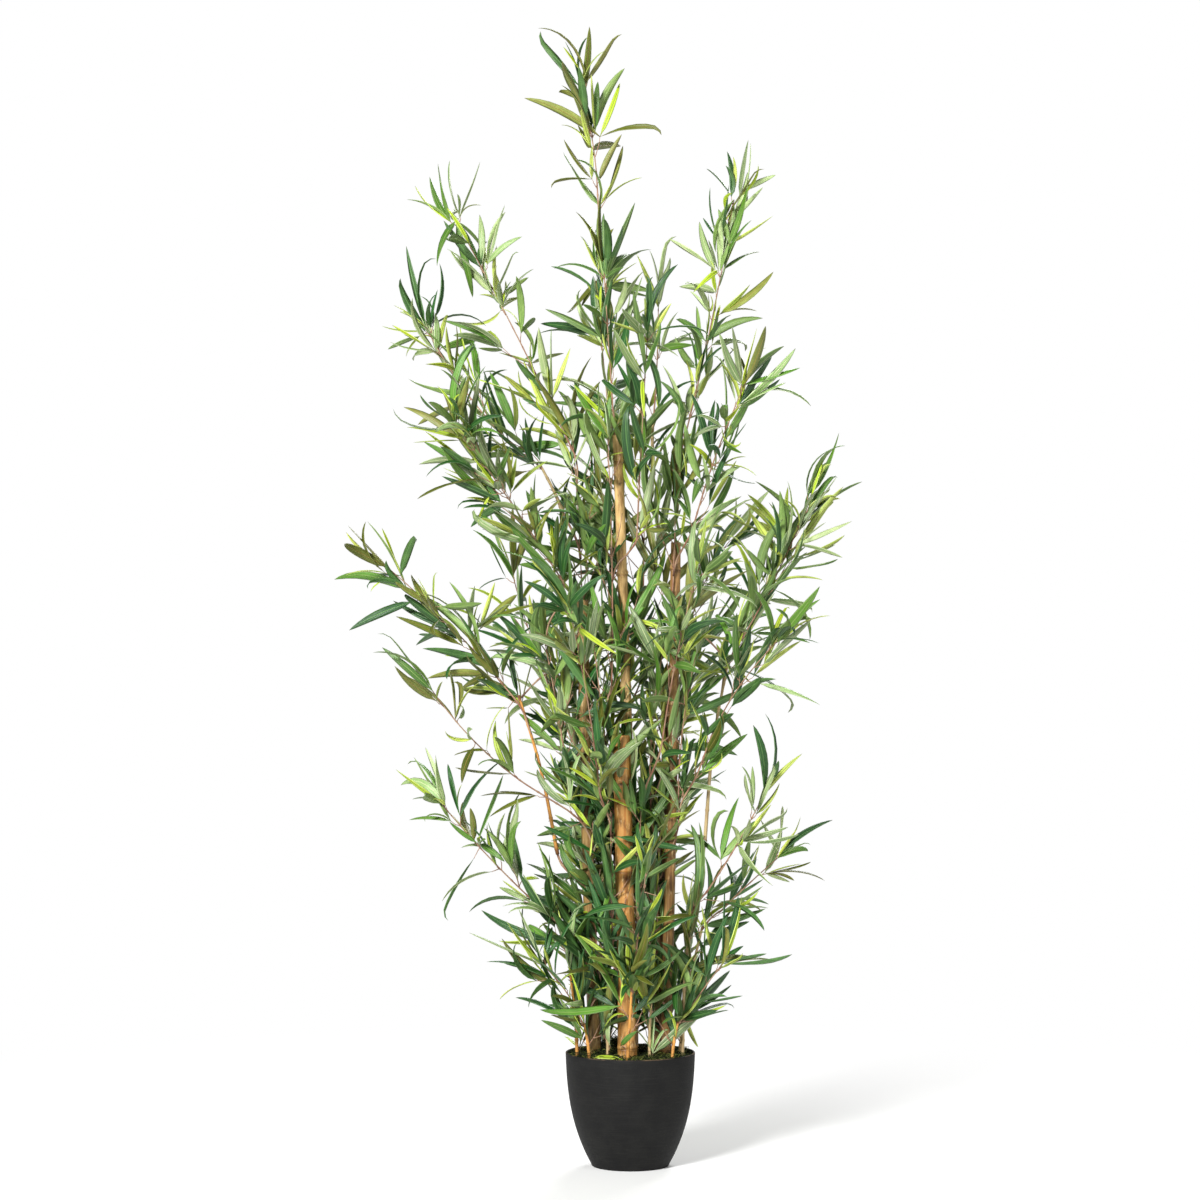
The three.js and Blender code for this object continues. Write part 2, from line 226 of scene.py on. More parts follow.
def tube_points(lines, radii, sides):
    """Round tubes along N lines of R points each, as an (N, R, sides, 3) array."""
    along = unit(np.gradient(lines, axis=1))
    first, _ = across(unit(lines[:, -1] - lines[:, 0]))
    normal = unit(first[:, None] - along * dot(first[:, None], along))
    side = np.cross(along, normal)
    turn = circle(sides)[:, None]
    ring = np.cos(turn) * normal[:, :, None] + np.sin(turn) * side[:, :, None]
    return lines[:, :, None] + radii[:, :, None, None] * ring


def tube_quads(rings, sides):
    """The quads of a tube of rings with both ends closed; the number of sides is even."""
    j = np.arange(sides)
    ring = np.arange(rings - 1)[:, None] * sides
    after = (j + 1) % sides
    wall = np.stack([ring + j, ring + after, ring + sides + after, ring + sides + j], axis=-1).reshape(-1, 4)
    i = np.arange(1, sides - 2, 2)
    end = np.stack([0 * i, i, i + 1, i + 2], axis=-1)
    return np.vstack([wall, end[:, ::-1], end + (rings - 1) * sides])


def tube_map(rings, sides):
    """Map coordinates for each corner of tube_quads: around in u, along in v."""
    j = np.arange(sides) / sides
    i = np.arange(rings - 1)[:, None] / (rings - 1)
    u0, v0 = np.broadcast_arrays(j, i)
    u1, v1 = u0 + 1 / sides, v0 + 1 / (rings - 1)
    corners = [(u0, v0), (u1, v0), (u1, v1), (u0, v1)]
    wall = np.stack([np.stack(corner, axis=-1) for corner in corners], axis=-2)
    caps = np.zeros((sides - 2, 4, 2))
    caps[:] = [[0.49, 0.0], [0.51, 0.0], [0.51, 0.02], [0.49, 0.02]]
    caps[len(caps) // 2:, :, 1] += 0.98
    return np.vstack([wall.reshape(-1, 4, 2), caps])


class Batch:
    """Points, quads and map coordinates gathered for one joined mesh."""

    def __init__(self):
        self.points, self.quads, self.maps, self.count = [], [], [], 0

    def add(self, points, quads, maps):
        """Adds N copies of one layout: points (N, V, 3), quads (Q, 4) and maps (Q, 4, 2) or (N, Q, 4, 2)."""
        copies, size = points.shape[:2]
        shifts = self.count + size * np.arange(copies)[:, None, None]
        self.points.append(points.reshape(-1, 3))
        self.quads.append((quads[None] + shifts).reshape(-1, 4))
        self.maps.append(np.broadcast_to(maps, (copies, len(quads), 4, 2)).reshape(-1, 4, 2))
        self.count += copies * size

    def add_rings(self, x, y, z):
        """Adds one closed surface through rings of points."""
        self.add(np.stack([x, y, z], axis=-1).reshape(1, -1, 3), tube_quads(*x.shape), tube_map(*x.shape))

    def add_tubes(self, lines, radii, sides):
        points = tube_points(lines, radii, sides)
        rings = lines.shape[1]
        self.add(points.reshape(len(lines), -1, 3), tube_quads(rings, sides), tube_map(rings, sides))

    def mesh(self, name):
        points, quads = np.vstack(self.points), np.vstack(self.quads)
        mesh = bpy.data.meshes.new(name)
        mesh.vertices.add(len(points))
        mesh.vertices.foreach_set("co", points.astype(np.float32).ravel())
        mesh.loops.add(quads.size)
        mesh.loops.foreach_set("vertex_index", quads.astype(np.int32).ravel())
        mesh.polygons.add(len(quads))
        mesh.polygons.foreach_set("loop_start", np.arange(0, quads.size, 4, dtype=np.int32))
        mesh.update(calc_edges=True)
        maps = np.vstack(self.maps).astype(np.float32).ravel()
        mesh.uv_layers.new(name="OFBake").uv.foreach_set("vector", maps)
        mesh.validate()
        mesh.shade_smooth()
        return mesh


def placed(name, data):
    """A new object in the scene."""
    made = bpy.data.objects.new(name, data)
    bpy.context.scene.collection.objects.link(made)
    return made


def piece(name, batch, material, nodes):
    """Shows a batch's mesh as a piece that rides with the plant in place of CAD nodes."""
    mesh = batch.mesh(name)
    mesh.materials.append(material)
    shown = placed(name, mesh)
    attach(shown, "root")
    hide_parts(*nodes)
    return mesh


def nodes_named(prefix):
    return sorted(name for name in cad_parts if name.startswith(prefix))


def node_points(name):
    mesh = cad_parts[name].data
    points = np.empty(3 * len(mesh.vertices), np.float32)
    mesh.vertices.foreach_get("co", points)
    return points.reshape(-1, 3).astype(float)


# ---- materials ----

MIX_FACTOR, MIX_A, MIX_B, MIX_RESULT = 0, 6, 7, 2


def wired(tree, kind, inputs, out=0, **settings):
    """Adds a node; each named or numbered input takes a value or another node's socket."""
    node = tree.nodes.new("ShaderNode" + kind)
    for key, value in settings.items():
        setattr(node, key, value)
    for key, value in inputs.items():
        if isinstance(value, bpy.types.NodeSocket):
            tree.links.new(value, node.inputs[key])
        else:
            node.inputs[key].default_value = value
    return node.outputs[out]


def add(tree, kind, *inputs, out=0, **settings):
    return wired(tree, kind, dict(enumerate(inputs)), out, **settings)


def maths(tree, operation, *inputs):
    return add(tree, "Math", *inputs, operation=operation)


def times(tree, a, b):
    return maths(tree, "MULTIPLY", a, b)


def mix(tree, factor, a, b):
    return wired(tree, "Mix", {MIX_FACTOR: factor, MIX_A: a, MIX_B: b}, MIX_RESULT, data_type="RGBA")


def ramp(tree, value, low, high):
    """A smooth 0 to 1 as the value goes from low to high; low may be the larger."""
    inputs = {"Value": value, "From Min": low, "From Max": high}
    return wired(tree, "MapRange", inputs, "Result", interpolation_type="SMOOTHSTEP")


def layered(tree, colour, *layers):
    """Blends towards each layer's colour by a share, `most` at most, as its value goes from low to high."""
    for other, value, low, high, most in layers:
        share = ramp(tree, value, low, high)
        if most < 1:
            share = times(tree, share, most)
        colour = mix(tree, share, colour, other)
    return colour


def noise(tree, vector, scale, detail=3.0, roughness=0.55):
    inputs = {"Vector": vector, "Scale": scale, "Detail": detail, "Roughness": roughness}
    return wired(tree, "TexNoise", inputs, "Fac")


def new_material(name, roughness, specular):
    material = bpy.data.materials.new(name)
    material.use_nodes = True
    shader = material.node_tree.nodes["Principled BSDF"]
    shader.inputs["Roughness"].default_value = roughness
    shader.inputs["Specular IOR Level"].default_value = specular
    return material, material.node_tree, shader


def surface(tree, shader, colour, height, distance):
    """Gives a shader its colour and relief."""
    tree.links.new(colour, shader.inputs["Base Color"])
    relief = wired(tree, "Bump", {"Height": height, "Distance": distance})
    tree.links.new(relief, shader.inputs["Normal"])


def own_map(tree):
    """Both coordinates of the piece's own map."""
    uv = add(tree, "UVMap", uv_map="OFBake")
    return add(tree, "SeparateXYZ", uv), add(tree, "SeparateXYZ", uv, out=1)


TINTS = 4                   # tint variants laid out side by side in a leaf's map
COLUMNS = 2 * TINTS
DARKEST_TINT, TINT_STEP = 0.56, 0.28
MARGIN_U, MARGIN_V = 0.04, 0.02


def leaf_material(kind):
    upper, under, rib, edge = LEAF_KINDS[kind]
    material, tree, shader = new_material("leaf_" + kind, 0.42, 0.5)
    u, v = own_map(tree)
    spread = times(tree, u, COLUMNS)
    column = maths(tree, "FLOOR", spread)
    inside = maths(tree, "FRACT", spread)
    side = maths(tree, "MODULO", column, 2.0)
    tint = maths(tree, "FLOOR", times(tree, u, TINTS))
    from_rib = maths(tree, "ABSOLUTE", maths(tree, "SUBTRACT", inside, 0.5))

    def at(across_scale, along_scale, layer):
        return add(tree, "CombineXYZ", times(tree, inside, across_scale),
                   times(tree, v, along_scale), layer)

    veins = noise(tree, at(34.0, 2.2, column), 1.0)
    blotches = noise(tree, at(2.0, 5.0, tint), 1.3, 2.0)

    colour = mix(tree, side, upper, under)
    brightness = maths(tree, "MULTIPLY_ADD", tint, TINT_STEP, DARKEST_TINT)
    hue = maths(tree, "MULTIPLY_ADD", maths(tree, "PINGPONG", tint, 2.0), -0.012, 0.508)
    colour = add(tree, "HueSaturation", hue, 1.1, brightness, 1.0, colour)
    colour = layered(
        tree, colour, (edge, veins, 0.46, 0.66, 0.42), (upper, blotches, 0.62, 0.40, 0.35),
        (rib, from_rib, 0.075, 0.03, 0.8), (edge, from_rib, 0.33, 0.42, 0.72),
        (rib, v, 0.16, 0.03, 0.6), (srgb(74, 62, 40), v, 0.93, 0.985, 0.65),
    )
    furrow = times(tree, ramp(tree, from_rib, 0.02, 0.06), 1.2)
    surface(tree, shader, colour, maths(tree, "ADD", veins, furrow), 0.35 * MM)
    return material


def twig_material(name, body, tinge, dark):
    material, tree, shader = new_material(name, 0.6, 0.3)
    u, v = own_map(tree)
    patches, fibres = (
        noise(tree, add(tree, "CombineXYZ", times(tree, u, wide), times(tree, v, tall), 0.0), 1.0)
        for wide, tall in ((2.0, 9.0), (14.0, 5.0))
    )
    colour = layered(
        tree, body, (tinge, patches, 0.38, 0.62, 1), (dark, fibres, 0.5, 0.75, 0.5),
        (dark, v, 0.07, 0.02, 1), (dark, v, 0.95, 0.985, 1),
    )
    surface(tree, shader, colour, fibres, 0.3 * MM)
    return material


def cane_material(name, body, warm, dark):
    """Natural bamboo: fine fibres along it, brown mottling, and dark rings, scars and painted shade in the
    hollow cut top by attribute.
    """
    material, tree, shader = new_material(name, 0.42, 0.4)
    u, _ = own_map(tree)
    turn = times(tree, u, 2 * math.pi)
    ring = (maths(tree, "COSINE", turn), maths(tree, "SINE", turn))
    height = add(tree, "SeparateXYZ", add(tree, "TexCoord", out=3), out=2)

    def grain(wide, tall, detail, roughness=0.6):
        at = add(tree, "CombineXYZ", times(tree, ring[0], wide),
                 times(tree, ring[1], wide), times(tree, height, tall))
        return noise(tree, at, 1.0, detail, roughness)

    fibres = grain(9.0, 16.0, 5.0, 0.65)
    specks = grain(7.0, 420.0, 3.0)
    colour = layered(
        tree, body, (warm, grain(3.2, 7.0, 4.0), 0.36, 0.66, 1),
        (dark, grain(1.3, 34.0, 5.0, 0.62), 0.50, 0.62, 0.62),
        (srgb(222, 194, 142), grain(2.0, 60.0, 4.0), 0.56, 0.70, 0.5),
        (dark, fibres, 0.50, 0.72, 0.35), (dark, specks, 0.64, 0.74, 0.6),
    )
    joint = add(tree, "Attribute", out=2, attribute_name="joint")
    scar_and_hollow_shade = add(tree, "Attribute", out=2, attribute_name="scar_and_hollow_shade")
    colour = mix(tree, times(tree, joint, 0.8), colour, dark)
    # Darkens the real scars, and paints shade into the hollow cut top, through the same attribute.
    colour = mix(tree, times(tree, scar_and_hollow_shade, 0.95), colour, srgb(38, 24, 12))
    surface(tree, shader, colour, maths(tree, "ADD", fibres, times(tree, specks, 0.5)), 0.5 * MM)
    return material


def pot_material():
    """Matt black moulded plastic with a fine grain, faint dust and a brownish worn rim."""
    material, tree, shader = new_material("pot_black", 0.6, 0.16)
    place = add(tree, "TexCoord", out=3)
    grain = noise(tree, place, 900.0)
    cloud = noise(tree, place, 38.0, 5.0, 0.6)
    height = add(tree, "SeparateXYZ", place, out=2)
    colour = layered(tree, srgb(15, 15, 15), (srgb(23, 23, 22), cloud, 0.35, 0.7, 1),
                     (srgb(40, 39, 37), grain, 0.60, 0.72, 0.4))
    worn = times(tree, ramp(tree, height, POT_HEIGHT - 1.6 * MM, POT_HEIGHT - 0.4 * MM),
                 ramp(tree, cloud, 0.42, 0.60))
    colour = mix(tree, times(tree, worn, 0.7), colour, srgb(104, 84, 62))
    around = add(tree, "VectorMath", place, (30.0, 30.0, 700.0), operation="MULTIPLY")
    lines = noise(tree, around, 1.0)
    colour = layered(tree, colour, (srgb(44, 43, 41), lines, 0.52, 0.68, 0.16))
    tree.links.new(maths(tree, "MULTIPLY_ADD", cloud, 0.25, 0.55), shader.inputs["Roughness"])
    relief = maths(tree, "ADD", times(tree, grain, 0.4), times(tree, lines, 0.5))
    surface(tree, shader, colour, relief, 0.6 * MM)
    return material


def moss_material(name, dark, light, scale):
    material, tree, shader = new_material(name, 0.85, 0.2)
    place = add(tree, "TexCoord", out=3)
    patches = noise(tree, place, scale, 4.0)
    fine = noise(tree, place, 1400.0, 2.0)
    colour = layered(tree, dark, (light, patches, 0.40, 0.68, 1), (srgb(96, 104, 44), fine, 0.6, 0.75, 0.4))
    surface(tree, shader, colour, fine, 0.8 * MM)
    return material


# ---- pot and moss ----


def pot_radius(z):
    t = np.asarray(z) / POT_HEIGHT
    rounded = 1 - (1 - t) ** POT_BELLY
    return POT_FOOT + (POT_RIM - POT_FOOT) * (POT_FLARE * t + (1 - POT_FLARE) * rounded)


def turned(profile, sides):
    """A closed solid of revolution from (radius, height) pairs that run from axis to axis."""
    radius, z = np.split(np.asarray(profile, float), 2, axis=1)
    turn = circle(sides)
    batch = Batch()
    batch.add_rings(radius * np.cos(turn), radius * np.sin(turn), z + 0 * turn)
    return batch


def make_pot():
    foot_round, rim_round = 3 * MM, POT_WALL / 2
    arc = np.linspace(0, np.pi / 2, 6)
    foot = [(pot_radius(foot_round) - foot_round * (1 - math.sin(a)), foot_round * (1 - math.cos(a)))
            for a in arc]
    rise = np.linspace(foot_round, POT_HEIGHT - rim_round, POT_RINGS)[1:]
    outside = [(pot_radius(z), z) for z in rise]
    centre = pot_radius(POT_HEIGHT) - rim_round
    rim = [(centre + rim_round * math.cos(a), POT_HEIGHT - rim_round + rim_round * math.sin(a))
           for a in np.linspace(0, np.pi, 9)]
    fall = np.linspace(POT_HEIGHT - rim_round, POT_FLOOR, POT_RINGS)[1:]
    inside = [(pot_radius(z) - POT_WALL, z) for z in fall]
    axis = 0.5 * MM
    profile = [(axis, 0), *foot, *outside, *rim[1:], *inside, (axis, POT_FLOOR)]
    piece("pot_shell", turned(profile, POT_SIDES), pot_material(), ["pot"])


def moss_height(x, y):
    away = np.hypot(x - MOUND_CENTRE[0], y - MOUND_CENTRE[1]) / MOUND_RADIUS
    a, b = x / MM, y / MM
    lumps = np.sin(a / 7 + 1) * np.cos(b / 8) + 0.6 * np.sin((a + b) / 5)
    small = 0.5 * np.sin(a / 2.3) * np.cos(b / 2.9 + 1) + 0.35 * np.sin((a - b) / 1.7)
    return MOSS_LEVEL + MOUND_HEIGHT * np.exp(-away * away) + (2.5 * lumps + small) * MM


def make_moss(rng):
    reach = pot_radius(MOSS_EDGE) - POT_WALL - 0.4 * MM
    turn = circle(MOSS_SIDES)
    shares = np.concatenate([[1.0, 1.0], np.linspace(0.98, 0.01, MOSS_RINGS)])
    x = reach * shares[:, None] * np.cos(turn)
    y = reach * shares[:, None] * np.sin(turn)
    sink = smoothstep(0.9, 1.0, shares)[:, None]
    z = moss_height(x, y) * (1 - sink) + MOSS_EDGE * sink
    z[0] = MOSS_EDGE - MOSS_DEPTH
    bed = Batch()
    bed.add_rings(x, y, z)
    dark = moss_material("moss_dark", srgb(20, 26, 12), srgb(46, 56, 24), 90.0)
    piece("moss_bed", bed, dark, ["moss_fill"])

    for name, count, colours in (
        ("moss_curls_dark", MOSS_CURLS, (srgb(18, 26, 11), srgb(48, 60, 24))),
        # The pale curls are partly the moss's own paler strands and partly painted highlights.
        ("moss_curls_light", MOSS_CURLS // 3, (srgb(64, 74, 28), srgb(132, 138, 66))),
    ):
        curls = Batch()
        spot = reach * 0.97 * np.sqrt(rng.random(count))
        angle = rng.uniform(0, 2 * np.pi, count)
        x, y = spot * np.cos(angle), spot * np.sin(angle)
        foot = np.stack([x, y, moss_height(x, y) - 1.0 * MM], axis=-1)
        heading = rng.uniform(0, 2 * np.pi, count)[:, None]
        size = rng.uniform(2.0, 6.0, count)[:, None] * MM
        rise = rng.uniform(0.5, 1.9, count)[:, None]
        t = np.linspace(0, 1, 7)
        swing = heading + rng.uniform(2.0, 5.0, count)[:, None] * t
        line = np.stack([
            foot[:, None, 0] + size * (np.cos(swing) - np.cos(heading)),
            foot[:, None, 1] + size * (np.sin(swing) - np.sin(heading)),
            foot[:, None, 2] + size * rise * np.sin(2.6 * t),
        ], axis=-1)
        out = np.hypot(line[..., 0], line[..., 1])[..., None]
        line[..., :2] *= np.minimum(1, (reach - 0.8 * MM) / np.maximum(out, 1e-6))
        radii = rng.uniform(0.3, 0.6, count)[:, None] * MM * (1 - 0.6 * t)
        curls.add_tubes(line, radii, 4)
        piece(name, curls, moss_material(name, *colours, 160.0), ["moss_fill"])


# ---- canes ----

CANE_LOOKS = {
    "cane_tall": (srgb(218, 184, 124), srgb(196, 154, 92), srgb(132, 92, 48)),
    "cane_front": (srgb(182, 138, 74), srgb(162, 106, 46), srgb(82, 52, 22)),
    "cane_left": (srgb(146, 118, 68), srgb(120, 90, 46), srgb(70, 50, 24)),
    "cane_right": (srgb(156, 120, 70), srgb(128, 88, 46), srgb(74, 48, 22)),
    "cane_right_back": (srgb(138, 104, 60), srgb(108, 76, 40), srgb(64, 44, 22)),
}
# The height and bearing of the scar of a cut branch.
CANE_SCARS = {
    "cane_front": [(505 * MM, 4.5)], "cane_tall": [(900 * MM, 4.9)], "cane_right": [(690 * MM, 4.4)],
}


def cane_facts(name):
    """A cane's centre line in x and y over z, its radius line and the heights of its joints."""
    points = node_points(name)
    z = points[:, 2]
    line = [np.polyfit(z, points[:, k], 2) for k in (0, 1)]
    away = np.hypot(points[:, 0] - np.polyval(line[0], z), points[:, 1] - np.polyval(line[1], z))
    on_wall = away > 2 * MM
    plain = np.polyfit(z[on_wall], away[on_wall], 1)
    rings = z[on_wall & (away > JOINT_SWELL * np.polyval(plain, z))]
    levels = np.round(rings / LEVEL_STEP).astype(int)
    level = np.unique(levels)
    groups = np.split(level, np.nonzero(np.diff(level) > 2)[0] + 1) if len(level) else []
    joints = [rings[np.isin(levels, group)].mean() for group in groups]
    low, high = z.min(), z.max()
    joints = [z for z in joints if low + JOINT_CLEAR < z < high - JOINT_CLEAR]
    return line, plain, joints, low, high


def make_cane(name, rng):
    line, plain, joints, low, high = cane_facts(name)
    brim = high - 1 * MM
    fine = [z + d * MM for z in joints for d in (-6, -4, -3, -2, -1.2, -0.5, 0, 0.6, 1.3, 2.2, 3.4, 5, 7)]
    heights = np.unique(np.concatenate([np.arange(low, brim, CANE_STEP), fine, [brim]]))
    heights = heights[(heights >= low) & (heights <= brim)]
    turn = circle(CANE_SIDES)
    radius = np.repeat(np.polyval(plain, heights)[:, None] * 0.985, CANE_SIDES, axis=1)
    joint, scar_and_hollow_shade = np.zeros((2, *radius.shape))
    for index, z in enumerate(joints):
        d = (heights - z)[:, None] / MM
        tilt = 0.5 * np.cos(turn + rng.uniform(0, 6))
        d = d + tilt
        radius += MM * (0.55 * hump(d, -1.4, 0.7) + 0.75 * hump(d, 2.2, 2.2))
        radius -= MM * 0.35 * hump(d, 0, 0.6)
        joint += hump(d, -0.4, 0.7) + 0.35 * hump(d, -2.6, 1.6)
        bud = index * np.pi + rng.uniform(-0.4, 0.4)
        facing = np.cos(turn - bud)
        groove = hump((turn - bud + np.pi) % (2 * np.pi), np.pi, 0.42)
        radius -= 0.07 * radius * groove * smoothstep(1, 8, d) * smoothstep(70, 25, d)
        radius += MM * 1.0 * np.maximum(facing, 0) ** 14 * hump(d, 3.5, 2.4)
        scar_and_hollow_shade += 0.8 * np.maximum(facing, 0) ** 40 * hump(d, 3.8, 1.5)
    for z, angle in CANE_SCARS.get(name, []):
        gap = (turn - angle + np.pi) % (2 * np.pi) - np.pi
        away = np.hypot((heights - z)[:, None], gap * radius) / MM
        radius += MM * (0.7 * hump(away, 3.4, 1.0) - 1.6 * hump(away, 0, 2.2))
        scar_and_hollow_shade += hump(away, 0, 2.3)
    rise = heights[:, None]
    radius *= 1 + 0.012 * np.sin(2 * turn + 9 * rise) + 0.008 * np.sin(3 * turn - 21 * rise)

    top = radius[-1]
    rim = [(high - 0.3 * MM, 0.985), (high, 0.94), (high, CANE_WALL_SHARE + 0.03),
           (brim, CANE_WALL_SHARE), (high - CANE_HOLLOW, CANE_WALL_SHARE * 0.98)]
    z_all = np.concatenate([heights, [z for z, _ in rim]])
    radius = np.vstack([radius, *[top[None] * share for _, share in rim]])
    marks = np.zeros((len(rim), CANE_SIDES))
    joint, scar_and_hollow_shade = np.vstack([joint, marks]), np.vstack([scar_and_hollow_shade, marks])
    # Painted shade: the inner wall and floor of the hollow cut top are darkened like a scar.
    scar_and_hollow_shade[-2:] = 0.75
    x = np.polyval(line[0], z_all)[:, None] + radius * np.cos(turn)
    y = np.polyval(line[1], z_all)[:, None] + radius * np.sin(turn)
    z = np.repeat(z_all[:, None], CANE_SIDES, axis=1)
    batch = Batch()
    batch.add_rings(x, y, z)
    mesh = piece(name + "_bark", batch, cane_material(name, *CANE_LOOKS[name]), [name])
    for key, values in (("joint", joint), ("scar_and_hollow_shade", scar_and_hollow_shade)):
        attribute = mesh.attributes.new(key, "FLOAT", "POINT")
        attribute.data.foreach_set("value", np.clip(values, 0, 1).astype(np.float32).ravel())
    centre = np.linspace(low, high, 60)
    return np.stack([np.polyval(line[0], centre), np.polyval(line[1], centre), centre], axis=-1)


# ---- the branching rule ----


VOLUME_SAMPLES = 500
SLICES_AT, SLICE_HALF = (0.27, 0.5, 0.73), 0.11     # shares of the way from foot to tip
STRAY_COST = 1.2            # keeps the tip of a side sprig from being taken for the node's own


class Volume:
    """A foliage node's space: its middle line from foot to tip, and how far it reaches."""

    def __init__(self, name, rng):
        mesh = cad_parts[name].data
        faces = [p.vertices[:] for p in mesh.polygons]
        self.tree = BVHTree.FromPolygons([v.co for v in mesh.vertices], faces)
        self.low, self.high = (np.array(corner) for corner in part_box(name))
        inside = self.samples(rng, VOLUME_SAMPLES)
        centre = inside.mean(axis=0)
        corners = node_points(name)
        foot = corners[corners[:, 2] < corners[:, 2].min() + FOOT_DEEP].mean(axis=0)
        onward = unit(centre - foot)
        past = corners - centre
        astray = np.linalg.norm(past - (past @ onward)[:, None] * onward, axis=1)
        tip = corners[np.argmax(past @ onward - STRAY_COST * astray)]
        along = tip - foot
        at = (inside - foot) @ along / (along @ along)
        shares = np.array(SLICES_AT)
        middles = np.array([np.median(inside[np.abs(at - s) < SLICE_HALF], axis=0) for s in shares])
        chord = foot + shares[:, None] * along
        bow = ((middles - chord) / (4 * shares * (1 - shares))[:, None]).mean(axis=0)
        t = np.linspace(0, 1, 5)[:, None]
        self.axis = foot + t * along + 4 * t * (1 - t) * bow

    def samples(self, rng, count):
        found = []
        while len(found) < count:
            p = rng.uniform(self.low, self.high)
            if self.holds(p):
                found.append(p)
        return np.array(found)

    def holds(self, p):
        place, normal, _, _ = self.tree.find_nearest(Vector(p))
        return (Vector(p) - place).dot(normal) < 0

    def reach(self, p, heading):
        """Distance from a point inside to the surface."""
        hit = self.tree.ray_cast(Vector(p), Vector(heading))
        return hit[3] if hit[3] is not None else OPEN_REACH


class Plant:
    """Shoots, twigs and leaves as they grow."""

    def __init__(self, rng):
        self.rng = rng
        self.hosts, self.shoots, self.twigs, self.leaves = [], [], [], []

    def link(self, line):
        """A way up to a line's foot from the best host point below, leaving the host at a narrow angle."""
        foot, heading = line[0], unit(line[1] - line[0])
        best, score = None, 1e9
        for host in self.hosts:
            drop = foot[2] - host[:, 2]
            aside = np.linalg.norm(host[:, :2] - foot[:2], axis=1)
            cost = np.abs(drop - LINK_DROP) + 2.2 * aside + 10 * np.maximum(0, aside - LINK_SLANT * drop)
            cost = np.where(drop < LINK_LEAST, 1e6, cost)
            index = int(np.argmin(cost))
            if cost[index] < score:
                score, best = cost[index], (host, index)
        host, index = best
        start = host[index]
        along = unit(host[min(index + 1, len(host) - 1)] - host[max(index - 1, 0)])
        span = np.linalg.norm(foot - start)
        t = np.linspace(0, 1, 8)[:, None]
        a, b = start + along * span * 0.4, foot - heading * span * 0.35
        return (1 - t) ** 3 * start + 3 * t * (1 - t) ** 2 * a + 3 * t * t * (1 - t) * b + t**3 * foot

    def join(self, line, limbs, meets):
        """A shoot's whole line and where it leaves its foot: on from a limb that meets it, or from a host."""
        near = min(limbs, key=lambda name: np.linalg.norm(limbs[name][-1] - line[0]), default=None)
        if near is None or np.linalg.norm(limbs[near][-1] - line[0]) > meets:
            foot = self.link(line)
        else:
            limb = limbs.pop(near)
            start, along = limb[-2], unit(limb[-1] - limb[-2])
            line = line[line[:, 2] > start[2] + meets / 2]
            t = np.linspace(0, 1, 6)[:, None]
            middle = (start + along * np.linalg.norm(line[0] - start) / 2 + line[0]) / 2
            foot = (1 - t) ** 2 * start + 2 * t * (1 - t) * middle + t * t * line[0]
        return np.vstack([foot[:-1:2], line[::4], line[-1:]]), max(0, line_length(foot) - BEFORE_FOOT)

    def shoot(self, line, foot_radius=SHOOT_FOOT, tip_radius=SHOOT_TIP):
        line = smooth_line(line, max(8, int(line_length(line) / LINE_STEP)))
        self.shoots.append((line, foot_radius, tip_radius))
        self.hosts.append(line)
        return line

    def fill(self, volume, line, start, tone, spacing, doubles):
        """Twigs with their fans along a shoot's line, from a distance along it to its end."""
        rng = self.rng
        end = line_length(line)
        step = end / (len(line) - 1)
        place = start + rng.uniform(0, spacing)
        turn = rng.uniform(0, 2 * np.pi)
        while place < end:
            index = min(int(place / step), len(line) - 2)
            p, along = line[index], unit(line[index + 1] - line[index])
            for _ in range(1 + (rng.random() < doubles)):
                turn += GOLDEN_TURN + rng.normal(0, 0.25)
                self.twig(volume, p, along, turn, tone)
            place += spacing * rng.uniform(0.7, 1.3)

    def crown(self, line, tone):
        """The fan at a shoot's tip."""
        self.fan(line[-1], unit(line[-1] - line[-2]), tone, self.rng.integers(3, 5), 1.0)

    def spray(self, name, volume, line, limbs, meets, spacing, doubles):
        """A whole shoot of a foliage node with its twigs and fans, on from a limb or a host."""
        line, start = self.join(line, limbs, meets)
        line = self.shoot(line)
        tone, fullness = spray_look(name)
        self.fill(volume, line, start, tone, spacing / fullness, doubles)
        self.crown(line, tone)

    def twig(self, volume, p, along, turn, tone):
        rng = self.rng
        first, second = across(along)
        angle = rng.uniform(*TWIG_ANGLE)
        best = None
        for nudge in rng.uniform(-0.6, 0.6, 4):
            out = math.cos(turn + nudge) * first + math.sin(turn + nudge) * second
            heading = unit(along * math.cos(angle) + out * math.sin(angle))
            reach = volume.reach(p, heading)
            if best is None or reach > best[0]:
                best = (reach, heading)
        reach, heading = best
        leaf = rng.uniform(*LEAF_LENGTH)
        length = float(np.clip(reach - 0.5 * leaf, TWIG_SHORTEST, TWIG_LONGEST)) * rng.uniform(0.8, 1.1)
        end_heading = unit(heading + 0.35 * along + [0, 0, 0.42] + rng.normal(0, 0.16, 3))
        t = np.linspace(0, 1, TWIG_RINGS)[:, None]
        bent = p + length * (t * heading * (1 - 0.5 * t) + 0.5 * t * t * end_heading)
        bent[1:-1] += rng.normal(0, 0.35 * MM, (TWIG_RINGS - 2, 3))
        self.twigs.append(bent)
        scale = float(np.clip(reach / (leaf * 0.7), 0.84, 1.0))
        self.fan(bent[-1], unit(bent[-1] - bent[-2]), tone, rng.choice([2, 3, 4], p=[0.2, 0.55, 0.25]), scale)
        for _ in range(int((length - 10 * MM) / FAN_SPACING) + (rng.random() < 0.4)):
            index = rng.integers(1, TWIG_RINGS - 2)
            stray = unit(heading + rng.normal(0, 0.5, 3))
            side = bent[index] + stray * rng.uniform(5, 22) * MM
            self.twigs.append(bent[index] + (side - bent[index]) * t)
            self.fan(side, stray, tone, rng.choice([1, 2, 3], p=[0.35, 0.45, 0.2]), scale)

